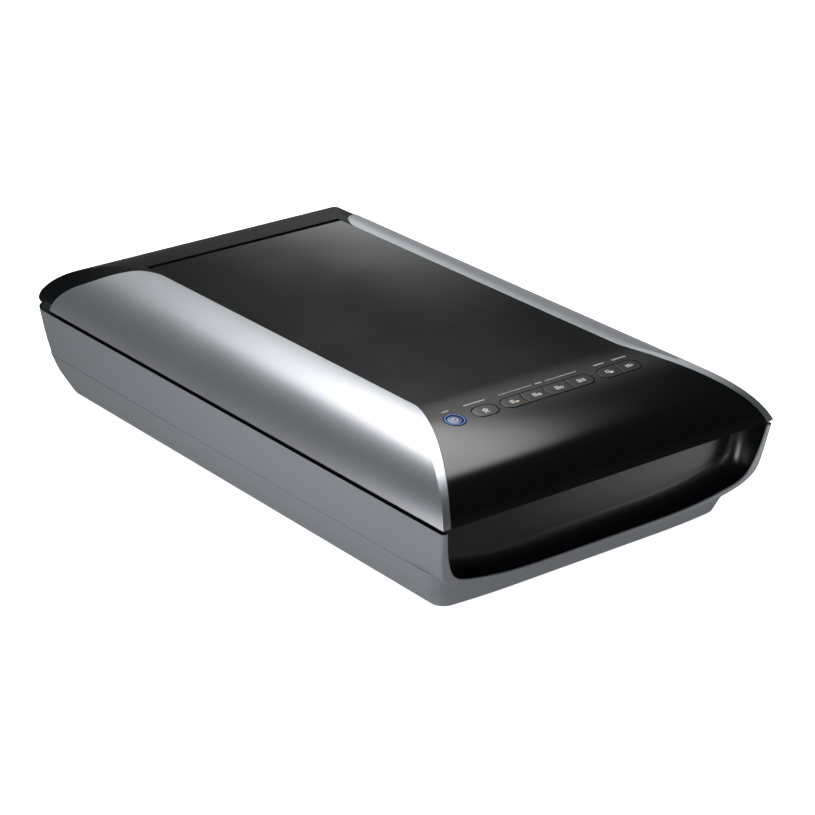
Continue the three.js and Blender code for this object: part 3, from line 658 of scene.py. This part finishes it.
# The band's rear face and its sides, as (z, y) and (z, x).
BAND_REAR = [(35, 235.3), (46, 236.8), (57, 238.4), (RIM, TUB_REAR)]
BAND_SIDE = [(35, 130.6), (46, 132.9), (57, 134.5), (RIM, HALF_WIDTH)]
REAR_CORNER = 20

# Rows of the band above the crease, and below it round the bay's frame.
ROWS_ABOVE, ROWS_BELOW = 18, 64


def frame_front(z):
    """The front frame leans back towards its foot."""
    return LID_FRONT + 0.5 + 0.19 * (RIM - z)


def level_value(table, z):
    """Reads a table of (z, value) between its rows."""
    z = clamp(z, table[0][0], table[-1][0])
    for (z0, v0), (z1, v1) in zip(table, table[1:]):
        if z <= z1:
            return lerp(v0, v1, (z - z0) / (z1 - z0))
    return table[-1][1]


def split_line(points, z_split):
    """Evenly spread points on the upper and the lower stretch of a right-hand outline."""
    line = curve_through(points)
    upper = [p for p in line if p.y >= z_split]
    lower = [p for p in line if p.y < z_split]
    a, b = upper[-1], lower[0]
    joint = a.lerp(b, (a.y - z_split) / (a.y - b.y))
    return spread_evenly([*upper, joint], ROWS_ABOVE) + spread_evenly([joint, *lower], ROWS_BELOW)[1:]


def frame_section(outer, inner):
    """Across the front frame: from its outer flank round the face to the bay's edge."""
    outer_r, inner_r, inner_end = 2.3, 0.7, 1.3
    yo, yi = frame_front(outer.y), frame_front(inner.y)
    across = (inner - outer).normalized()
    points = []
    for k in range(6):
        t = math.radians(18 * k)
        p = outer + across * outer_r * (1 - math.cos(t))
        points.append((p.x, yo + outer_r * (1 - math.sin(t)), p.y))
    for k in range(1, 5):
        t = math.radians(30 * (k - 1))
        p = inner - across * inner_r * (1 - math.sin(t))
        points.append((p.x, yi + inner_r * (1 - math.cos(t)), p.y))
    points.append((inner.x, yi + inner_end, inner.y))
    return points


def tub_band():
    """The case above the crease: the front frame round the bay, and the sides and rear behind it."""
    outer = split_line(FRAME_OUTER, BAND_FOOT)
    inner = split_line(FRAME_INNER, INNER_CREASE)
    skin = Skin()
    sections = [frame_section(o, i) for o, i in zip(outer, inner)]
    back_of_frame = -212
    blend_length = 25
    right = [[(s[0][0], back_of_frame, s[0][2]), *s] for s in sections]
    for sign in (1, -1):
        skin.sheet([[(sign * x, y, z) for x, y, z in row] for row in right])
    flank_ys = [back_of_frame, -207, -202, -197, -192, -187, -150, -90, 0, 90, 160]
    rows = []
    for o in outer[:ROWS_ABOVE + 1]:
        z = o.y
        rear = level_value(BAND_REAR, z)
        side_x = level_value(BAND_SIDE, z)
        row = []
        for y in flank_ys:
            t = smooth((y - back_of_frame) / blend_length)
            row.append((lerp(o.x, side_x, t), y, z))
        r = REAR_CORNER
        for k in range(11):
            t = math.radians(9 * k)
            row.append((side_x - r + r * math.cos(t), rear - r + r * math.sin(t), z))
        row.append((0, rear, z))
        rows.append(row)
    for sign in (1, -1):
        skin.sheet([[(sign * x, y, z) for x, y, z in row] for row in rows])
    obj = make_object("tub_band", skin, (0, 0, 50))
    thicken(obj, WALL["band"])
    round_edges(obj, 0.35, angle=50, segments=2)
    settle(obj, 40)
    give(obj, MATERIAL["case_grey"], "base", ["base_tub"])
    # Painted shade: the band's top faces, in the gap under the lid, are painted black.
    paint_shade(obj, lambda c, n: c.z > RIM - 0.6 and n.z > 0.9)


# The hull's levels: z, half width, front, rear, front corners' radius, how far the corners bow back.
HULL_LEVELS = [
    (TUB_LOW, 115.5, -214.9, 230.5, 8, 3.0),
    (15.1, 122.2, -220, 232.3, 10, 4.5),
    (22, 126.1, -226, 233.3, 10, 6.0),
    (29, 129, -228.9, 234.3, 10, 5.2),
    (CREASE, 131.3, -231.5, 235.3, 10, 4.0),
]
BOW_START = 60


def hull_ring(z, half, front, rear, corner, bow, inset=0.0):
    """One level of the hull: the right half's points, bowed back at the front, and their mirror images."""
    half -= inset
    front += inset
    rear -= inset
    rear_r = REAR_CORNER
    points = [(lerp(0, half - corner, t / 16), front, z) for t in range(16)]
    for k in range(9):
        t = math.radians(-90 + 11.25 * k)
        points.append((half - corner + corner * math.cos(t), front + corner + corner * math.sin(t), z))
    for k in range(1, 6):
        points.append((half, lerp(front + corner, rear - rear_r, k / 6), z))
    for k in range(11):
        t = math.radians(9 * k)
        points.append((half - rear_r + rear_r * math.cos(t), rear - rear_r + rear_r * math.sin(t), z))
    bowed = []
    for x, y, pz in points:
        out = max(0, (x - BOW_START) / (half - BOW_START))
        bowed.append((x, y + bow * out * out if y < 0 else y, pz))
    return bowed + [(-x, y, pz) for x, y, pz in reversed(bowed[1:])]


def hull_level(z):
    """The hull's measures at a height."""
    table = [[(row[0], row[k]) for row in HULL_LEVELS] for k in range(1, 6)]
    return [level_value(t, z) for t in table]


def hull_cutters():
    """The bay's opening, the sockets, the screws' wells and the transport lock's slot."""
    middle = [p.lerp(q, 0.45) for p, q in zip(
        spread_evenly(curve_through(FRAME_OUTER), 60), spread_evenly(curve_through(FRAME_INNER), 60))]
    outline = [(p.x, p.y) for p in middle] + [(-p.x, p.y) for p in reversed(middle[:-1])]
    beside, above = 150, RIM + 20
    outline = [(beside, above), *outline, (-beside, above)]
    cutters = [prism_y("bay_cut", outline, y0=-260, y1=-214)]
    gap, y0, y1 = 0.6, 226, 250
    for node in ("usb_socket", "power_jack"):
        low, high = box_mm(node)
        cutters.append(block("socket_cut", low.x - gap, high.x + gap, y0, y1, low.z - gap, high.z + gap))
    for name in ("front_left", "front_right", "rear_left", "rear_right"):
        low, high = box_mm("case_screw_" + name)
        cutters.append(screw_hole((low.x + high.x) / 2, (low.y + high.y) / 2))
    cutters.append(block("lock_cut", x0=53, x1=77, y0=-154, y1=-146, z0=0, z1=10))
    return cutters


def tub_hull():
    """The case below the crease, with a rounded edge at the bottom."""
    skin = Skin()
    fillet = 2.5
    rings = [hull_ring(TUB_LOW, *hull_level(TUB_LOW), inset=fillet)]
    for k in range(1, 5):
        t = math.radians(22.5 * k)
        z = TUB_LOW + fillet * (1 - math.cos(t))
        rings.append(hull_ring(z, *hull_level(z), inset=fillet * (1 - math.sin(t))))
    for k in range(1, 25):
        z = lerp(TUB_LOW + fillet, CREASE, k / 24)
        rings.append(hull_ring(z, *hull_level(z)))
    skin.sheet(rings, closed=True)
    skin.cap(rings[0])
    obj = make_object("tub_hull", skin, (0, 0, 30))
    thicken(obj, WALL["hull"])
    cutters = hull_cutters()
    cut(obj, cutters)
    round_edges(obj, 0.35, angle=50, segments=2)
    settle(obj, 40, cutters)
    give(obj, MATERIAL["case_grey"], "base")


def screw_hole(x, y):
    """A round cutter for a case screw's well."""
    radius, height = 3.6, 9
    skin = Skin()
    rings = [[(u, v, z) for u, v in circle(x, y, radius)] for z in (0, height)]
    skin.sheet(rings, closed=True)
    skin.cap(rings[0])
    skin.cap(rings[1])
    return make_object("screw_cut", skin, (x, y, 4))


def front_bay():
    """A shell that starts behind the frame's inner edge and rounds off to the flat back wall."""
    back = box_mm("front_bay")[1].y - 2.5
    side_depth, floor_depth, behind_frame = 7, 11, 1.2
    inside = Vector((0, 66))
    inner = split_line(FRAME_INNER, INNER_CREASE)
    inner = [p for p in inner if p.y <= BAY_TOP]
    inner.insert(0, Vector((131.5, BAY_TOP)))
    whole = inner + [Vector((-p.x, p.y)) for p in reversed(inner[:-1])]
    last = len(whole) - 1
    skin = Skin()
    steps = 14
    rings = [[] for _ in range(steps + 1)]
    for i, p in enumerate(whole):
        before, after = whole[max(0, i - 1)], whole[min(last, i + 1)]
        run = (after - before).normalized()
        inward = Vector((run.y, -run.x))
        if inward.dot(inside - p) < 0:
            inward = -inward
        depth = side_depth * abs(inward.x) + floor_depth * abs(inward.y)
        y0 = frame_front(p.y) + behind_frame
        for k in range(steps + 1):
            t = math.radians(90 * k / steps)
            q = p + inward * depth * (1 - math.cos(t)) ** 1.1
            z = BAY_TOP if i in (0, last) else min(q.y, BAY_TOP)
            rings[k].append((q.x, lerp(y0, back, math.sin(t) ** 0.9), z))
    # Rings that shrink towards the top's middle make the back wall.
    for scale in (0.96, 0.85, 0.6, 0.3):
        rings.append([(x * scale, y, lerp(BAY_TOP, z, scale)) for x, y, z in rings[steps]])
    skin.sheet(rings)
    skin.cap(rings[-1])
    obj = make_object("front_bay_skin", skin, None)
    if sum(f.normal.y * f.area for f in obj.data.polygons) > 0:
        obj.data.flip_normals()
    thicken(obj, WALL["bay"])
    settle(obj, 50)
    give(obj, MATERIAL["bay_black"], "base", ["front_bay"])


# ---------------------------------------------------------------- keys

KEY_PLACE = (Matrix.Translation(Vector((0, BUTTON_Y, front_z(BUTTON_Y))))
             @ Matrix.Rotation(BUTTON_TILT, 4, "X"))


def on_panel(points):
    """Points of the keys' own frame in the frame of the whole."""
    return [tuple(KEY_PLACE @ Vector(p)) for p in points]


def key_ring(left, right, r, inset, steps=10):
    """One key's outline moved in by an inset. left and right say where the key ends and how."""
    h = r - inset
    points = []
    for k in range(steps + 1):
        t = math.radians(-90 + 180 * k / steps)
        v = h * math.sin(t)
        points.append((right(v, h, inset), v))
    for k in range(steps + 1):
        t = math.radians(90 - 180 * k / steps)
        v = h * math.sin(t)
        points.append((left(v, h, inset), v))
    return points


def round_end(x, sign, r):
    """A slot's own rounded end."""
    return lambda v, h, inset: x - sign * r + sign * math.sqrt(max(0, h * h - v * v))


def divider_end(x, sign):
    """A side next to another key, curved like the gap between them."""
    bulge = DIVIDER_BULGE[x]
    return lambda v, h, inset: x - sign * (DIVIDER_HALF + inset) + bulge * (1 - (v / DIVIDER_REACH) ** 2)


def key_mesh(name, left, right, r):
    """One key cap: upright sides, a rounded edge and a softly domed top, as (inset, height)."""
    skin = Skin()
    profile = [(0.3, KEY_FOOT), (0.05, -1.2), (0.05, -0.12), (0.13, -0.04), (0.35, 0.0), (4.5, KEY_CROWN)]
    skin.sheet([on_panel([(u, v, height) for u, v in key_ring(left, right, r, inset)])
                for inset, height in profile], closed=True)
    width = len(key_ring(left, right, r, 0))
    skin.cap(skin.points[:width])
    skin.cap(skin.points[-2 * width:-width])
    middle = KEY_PLACE @ Vector(((left(0, r, 0) + right(0, r, 0)) / 2, 0, -2))
    return settle(make_object(name, skin, middle, merge=0.003), 50)


def keys():
    r = KEY_SLOT - KEY_GAP
    for x0, x1, dividers, names in KEY_ROWS:
        stops = [x0 + KEY_GAP, *dividers, x1 - KEY_GAP]
        for node, a, b in zip(names, stops, stops[1:]):
            left = divider_end(a, -1) if a in dividers else round_end(a, -1, r)
            right = divider_end(b, 1) if b in dividers else round_end(b, 1, r)
            name = node.replace("button_", "")
            obj = key_mesh("cap_" + name, left, right, r)
            give(obj, MATERIAL["key_black"], "key_" + name, [node])
            # Painted shade: the key's sides, down in the slot, are painted black.
            paint_shade(obj, lambda c, n: n.z < 0.96)
            icon(name, (a + b) / 2)


def power_rings(profile):
    """Rings round the power key's middle from (radius, height) points."""
    return [on_panel([(u, v, height) for u, v in circle(POWER["x"], 0, radius, 40)])
            for radius, height in profile]


def power_key():
    cap = POWER["cap"]
    skin = Skin()
    rings = power_rings([
        (cap, KEY_FOOT), (cap, -0.2), (cap - 0.1, -0.1), (cap - 1.2, -0.02), (0.9, KEY_CROWN)])
    skin.sheet(rings, closed=True)
    skin.cap(rings[0])
    skin.cap(rings[-1])
    obj = make_object("cap_power", skin, KEY_PLACE @ Vector((POWER["x"], 0, -2)), merge=0.003)
    settle(obj, 50)
    give(obj, MATERIAL["blue_key"], "key_power", ["button_power"])
    # Painted shade: the key's sides, down in the hole, are painted black.
    paint_shade(obj, lambda c, n: n.z < 0.9)
    icon("power", POWER["x"])


def power_light():
    inner, outer, top = POWER["ring_inner"], POWER["ring_outer"], 0.2
    skin = Skin()
    skin.sheet(power_rings([
        (outer, KEY_FOOT), (outer, -0.1), (outer - 0.2, 0.14), (outer - 0.55, top), (inner + 0.5, top),
        (inner + 0.15, 0.1), (inner, -0.1), (inner, KEY_FOOT), (outer, KEY_FOOT)]), closed=True)
    obj = make_object("power_light", skin, None, merge=0.003)
    settle(obj, 50)
    give(obj, MATERIAL["blue_light"], "lid", ["power_light_ring"])
    # Painted shade: the ring's sides, down in the hole, are painted black.
    paint_shade(obj, lambda c, n: n.z < 0.8)


# ---------------------------------------------------------------- printed marks

def circle(u, v, r, sides=24):
    turns = [math.tau * k / sides for k in range(sides)]
    return [(u + r * math.cos(t), v + r * math.sin(t)) for t in turns]


def rectangle(u, v, width, height, turn=0):
    c, s = math.cos(math.radians(turn)), math.sin(math.radians(turn))
    a, b = width / 2, height / 2
    return [(u + p * c - q * s, v + p * s + q * c) for p, q in ((-a, -b), (a, -b), (a, b), (-a, b))]


class Print:
    """Thin printed patches on a key, about its own middle."""

    def __init__(self, x):
        self.x = x
        self.skin = Skin()
        self.low = KEY_CROWN - 0.2
        self.high = KEY_CROWN + 0.04

    def ring_at(self, outline, height):
        return on_panel([(self.x + u, v, height) for u, v in outline])

    def patch(self, outline):
        rows = [self.ring_at(outline, h) for h in (self.low, self.high)]
        self.skin.sheet(rows, closed=True)
        self.skin.cap(rows[0])
        self.skin.cap(rows[1])

    def rim(self, outer, inner):
        low, high = self.low, self.high
        around = [(outer, low), (outer, high), (inner, high), (inner, low), (outer, low)]
        self.skin.sheet([self.ring_at(outline, h) for outline, h in around], closed=True)

    def page(self, u, v, width=3.0, height=3.6, stroke=0.5, turn=0):
        self.rim(rectangle(u, v, width, height, turn),
                 rectangle(u, v, width - 2 * stroke, height - 2 * stroke, turn))

    def bar(self, u, v, width, height=0.5, turn=0):
        self.patch(rectangle(u, v, width, height, turn))

    def done(self, name, material, body):
        obj = make_object(name, self.skin, None, merge=0.001)
        obj.data.shade_flat()
        give(obj, material, body)


def icon(name, x):
    """A plain pictogram for each key's job, drawn about the key's middle."""
    body = "key_" + name
    ink = Print(x)
    if name.startswith("pdf"):
        ink.page(-1.3, 0.2)
        for v in (1.0, 0.2, -0.6):
            ink.bar(-1.3, v, 1.4, 0.35)
    if name == "power":
        ink.rim(circle(0, 0, 2.1), circle(0, 0, 1.5))
        ink.bar(0, 1.6, 0.6, 1.8)
    elif name == "auto_scan":
        ink.page(0, 0.3, 3.6, 3.0, 0.6, turn=35)
        ink.bar(0.1, 0.3, 1.6, 0.9, turn=35)
        ink.bar(0, -2.2, 4.4, 0.6)
    elif name == "pdf_colour":
        tint = Print(x)
        tint.bar(1.9, -0.9, 2.2, 1.6)
        tint.done("tint_" + name, MATERIAL["icon_accent"], body)
    elif name == "pdf_mono":
        ink.rim(rectangle(1.8, -0.7, 2.4, 2.2), rectangle(1.6, -0.7, 0.9, 1.1))
    elif name == "pdf_custom":
        ink.rim(circle(1.9, -0.5, 1.4), circle(1.9, -0.5, 0.9))
    elif name == "pdf_finish":
        ink.bar(1.5, 0.2, 0.7, 3.6)
        ink.bar(2.8, 0.2, 0.7, 3.6)
    elif name == "copy":
        ink.page(-0.8, 0.5, 3.2, 3.0, 0.6)
        ink.bar(1.2, -0.9, 2.6, 2.0)
    elif name == "email":
        ink.page(-0.6, 0, 4.0, 2.8, 0.55)
        ink.bar(-1.3, 0.35, 1.7, 0.45, turn=-38)
        ink.bar(0.1, 0.35, 1.7, 0.45, turn=38)
        ink.bar(2.6, 0.5, 1.2, 0.45)
        ink.bar(2.6, -0.6, 1.2, 0.45)
    ink.done("icon_" + name, MATERIAL["icon_grey"], body)


def panel_mark(name, x0, x1, y, width, material, lift=0.04):
    """A thin bar with rounded ends lying on the panel's curve."""
    skin = Skin()
    outline = [(u, y + v) for u, v in slot_outline(x0, x1, width / 2, steps=6)]
    rows = [[(u, v, front_z(v) + h) for u, v in outline] for h in (-0.3, lift)]
    skin.sheet(rows, closed=True)
    skin.cap(rows[0])
    skin.cap(rows[1])
    obj = make_object(name, skin, None, merge=0.001)
    obj.data.shade_flat()
    give(obj, material, "lid")


def panel_marks():
    """Plain bars where a scanner has its key captions, and dark hairlines between the groups of keys that are
    painted shade for the chamfer linking them.
    """
    for name, (x, width) in CAPTIONS.items():
        panel_mark("caption_" + name, x - width / 2, x + width / 2, CAPTION_Y, 1.3, MATERIAL["caption_grey"])
    for name, x0, x1 in (("left", -31.7, -4.2), ("right", 6.6, 32.8)):
        panel_mark("caption_line_" + name, x0, x1, CAPTION_Y, 0.7, MATERIAL["caption_grey"])
    # The hairlines are painted shade: thin dark bars in place of the chamfer's shaded edge between the
    # groups.
    overlap = 1.2
    for name, before, after in (("left", *KEY_ROWS[0:2]), ("right", *KEY_ROWS[1:3])):
        x0, x1 = before[1] - overlap, after[0] + overlap
        panel_mark("key_chamfer_shade_" + name, x0, x1, BUTTON_Y + 4.0, 0.6, MATERIAL["inner_black"], lift=0.02)


# ---------------------------------------------------------------- carried-over nodes

def finish_cad_nodes():
    """The pieces that keep their CAD shape get materials and softened edges."""
    slots = {part["node"]: part["material_slot"] for part in frame["record"]["subparts"]}
    for name, obj in frame["nodes"].items():
        material = MATERIAL[slots[name]]
        for s in obj.material_slots:
            s.material = material
        if not obj.material_slots:
            obj.data.materials.append(material)
        if not obj.hide_render:
            round_edges(obj, 0.2, angle=40, segments=2)


# ---------------------------------------------------------------- stage, light and camera

def floor():
    """A plain pale floor that reflections and bounced light pass: the world gives the light from below."""
    skin = Skin()
    size = 9000
    skin.sheet([[(-size, -size, 0), (size, -size, 0)], [(-size, size, 0), (size, size, 0)]])
    obj = make_object("floor", skin, (0, 0, -10))
    material = plastic("floor_white", (0.85, 0.85, 0.85), 0.8, grain=60, bump=0.01, tint_span=0.01,
                       specular=0.1)
    lit(material, (1, 1, 1), 0.97)
    obj.data.materials.append(material)
    obj.visible_glossy = False
    obj.visible_diffuse = False


# Brightness of the studio by the height of the direction, from straight down to straight up.
STUDIO = [
    (-1, 0.29), (-0.3, 0.29), (-0.06, 0.28), (0.03, 0.28), (0.12, 0.12), (0.25, 0.08), (0.42, 0.06),
    (0.6, 0.03), (1, 0.03),
]


def world():
    """A plain studio: each direction is as bright as its height says, and a touch cool."""
    scene = bpy.context.scene
    scene.world = bpy.data.worlds.new("studio")
    scene.world.use_nodes = True
    tree = scene.world.node_tree
    background = tree.nodes["Background"]
    place = tree.nodes.new("ShaderNodeTexCoord")
    split = tree.nodes.new("ShaderNodeSeparateXYZ")
    half = tree.nodes.new("ShaderNodeMath")
    half.operation = "MULTIPLY_ADD"
    half.inputs[1].default_value = 0.5
    half.inputs[2].default_value = 0.5
    ramp = tree.nodes.new("ShaderNodeValToRGB")
    tree.links.new(place.outputs["Generated"], split.inputs["Vector"])
    tree.links.new(split.outputs["Z"], half.inputs[0])
    tree.links.new(half.outputs["Value"], ramp.inputs["Fac"])
    tree.links.new(ramp.outputs["Color"], background.inputs["Color"])
    ramp.color_ramp.interpolation = "EASE"
    points = ramp.color_ramp.elements
    for i, (height, value) in enumerate(STUDIO):
        point = points[i] if i < 2 else points.new(1)
        point.position = (height + 1) / 2
        point.color = (value, value, value * 1.03, 1)


def softbox(name, place, target, width, height, brightness, edge, roll=0):
    """An area light of a given brightness. It fades out towards its edges, over a share of its size."""
    light = bpy.data.lights.new(name, "AREA")
    light.shape = "RECTANGLE"
    light.size = width * MM
    light.size_y = height * MM
    light.energy = brightness * math.pi * light.size * light.size_y
    light.use_nodes = True
    tree = light.node_tree
    emission = tree.nodes["Emission"]
    face = tree.nodes.new("ShaderNodeNewGeometry")
    split = tree.nodes.new("ShaderNodeSeparateXYZ")
    tree.links.new(face.outputs["Parametric"], split.inputs["Vector"])
    fades = []
    for axis in ("X", "Y"):
        centred = tree.nodes.new("ShaderNodeMath")
        centred.operation = "SUBTRACT"
        centred.inputs[1].default_value = 0.5
        away = tree.nodes.new("ShaderNodeMath")
        away.operation = "ABSOLUTE"
        fade = tree.nodes.new("ShaderNodeMapRange")
        fade.interpolation_type = "SMOOTHSTEP"
        fade.inputs["From Min"].default_value = 0.5
        fade.inputs["From Max"].default_value = 0.5 - edge
        tree.links.new(split.outputs[axis], centred.inputs[0])
        tree.links.new(centred.outputs[0], away.inputs[0])
        tree.links.new(away.outputs[0], fade.inputs["Value"])
        fades.append(fade)
    both = tree.nodes.new("ShaderNodeMath")
    both.operation = "MULTIPLY"
    tree.links.new(fades[0].outputs["Result"], both.inputs[0])
    tree.links.new(fades[1].outputs["Result"], both.inputs[1])
    tree.links.new(both.outputs[0], emission.inputs["Strength"])
    obj = bpy.data.objects.new(name, light)
    bpy.context.scene.collection.objects.link(obj)
    obj.location = Vector(place) * MM
    facing = (Vector(target) - Vector(place)).to_track_quat("-Z", "Y")
    obj.rotation_euler = (facing @ Quaternion((0, 0, 1), math.radians(roll))).to_euler()


def camera():
    """The photograph's viewing angle, in metres and degrees."""
    bpy.context.scene.view_settings.view_transform = "Standard"
    data = bpy.data.cameras.new("camera")
    data.lens = 122.64
    data.sensor_width = 36
    data.clip_end = 100
    obj = bpy.data.objects.new("camera", data)
    bpy.context.scene.collection.objects.link(obj)
    obj.location = (-1.0533, -1.3996, 0.7930)
    obj.rotation_euler = (math.radians(66.62), 0, math.radians(-37.54))
    bpy.context.scene.camera = obj


camera()
floor()
world()
softbox("overhead", (139, 335, 900), (139, 335, 0), 1078, 930, 5.0, edge=0.115, roll=-8)
softbox("rear_left", (-520, 900, 900), (-520, 900, 0), 600, 700, 0.2, edge=0.45)
softbox("rear_right", (603, 900, 372), (100, 0, 100), 520, 196, 2.3, edge=0.5, roll=-21)
softbox("rear_top", (640, 930, 910), (640, 930, 0), 1300, 1340, 1.0, edge=0.45)
softbox("front_left", (-850, -540, 280), (-130, -160, 50), 500, 420, 10.0, edge=0.35)
softbox("front", (100, -1300, 150), (0, -240, 50), 900, 250, 2.5, edge=0.3)
softbox("low_left", (-520, -50, 110), (-130, -50, 110), 400, 210, 5.5, edge=0.4)
softbox("floor_glow", (200, -300, 1), (200, -300, 500), 420, 110, 1.8, edge=0.45)

for word, side in (("left", -1), ("right", 1)):
    silver_side(word, side)
gloss_panel()
rear_cover()
groove()
tub_band()
tub_hull()
front_bay()
keys()
power_key()
power_light()
panel_marks()
finish_cad_nodes()
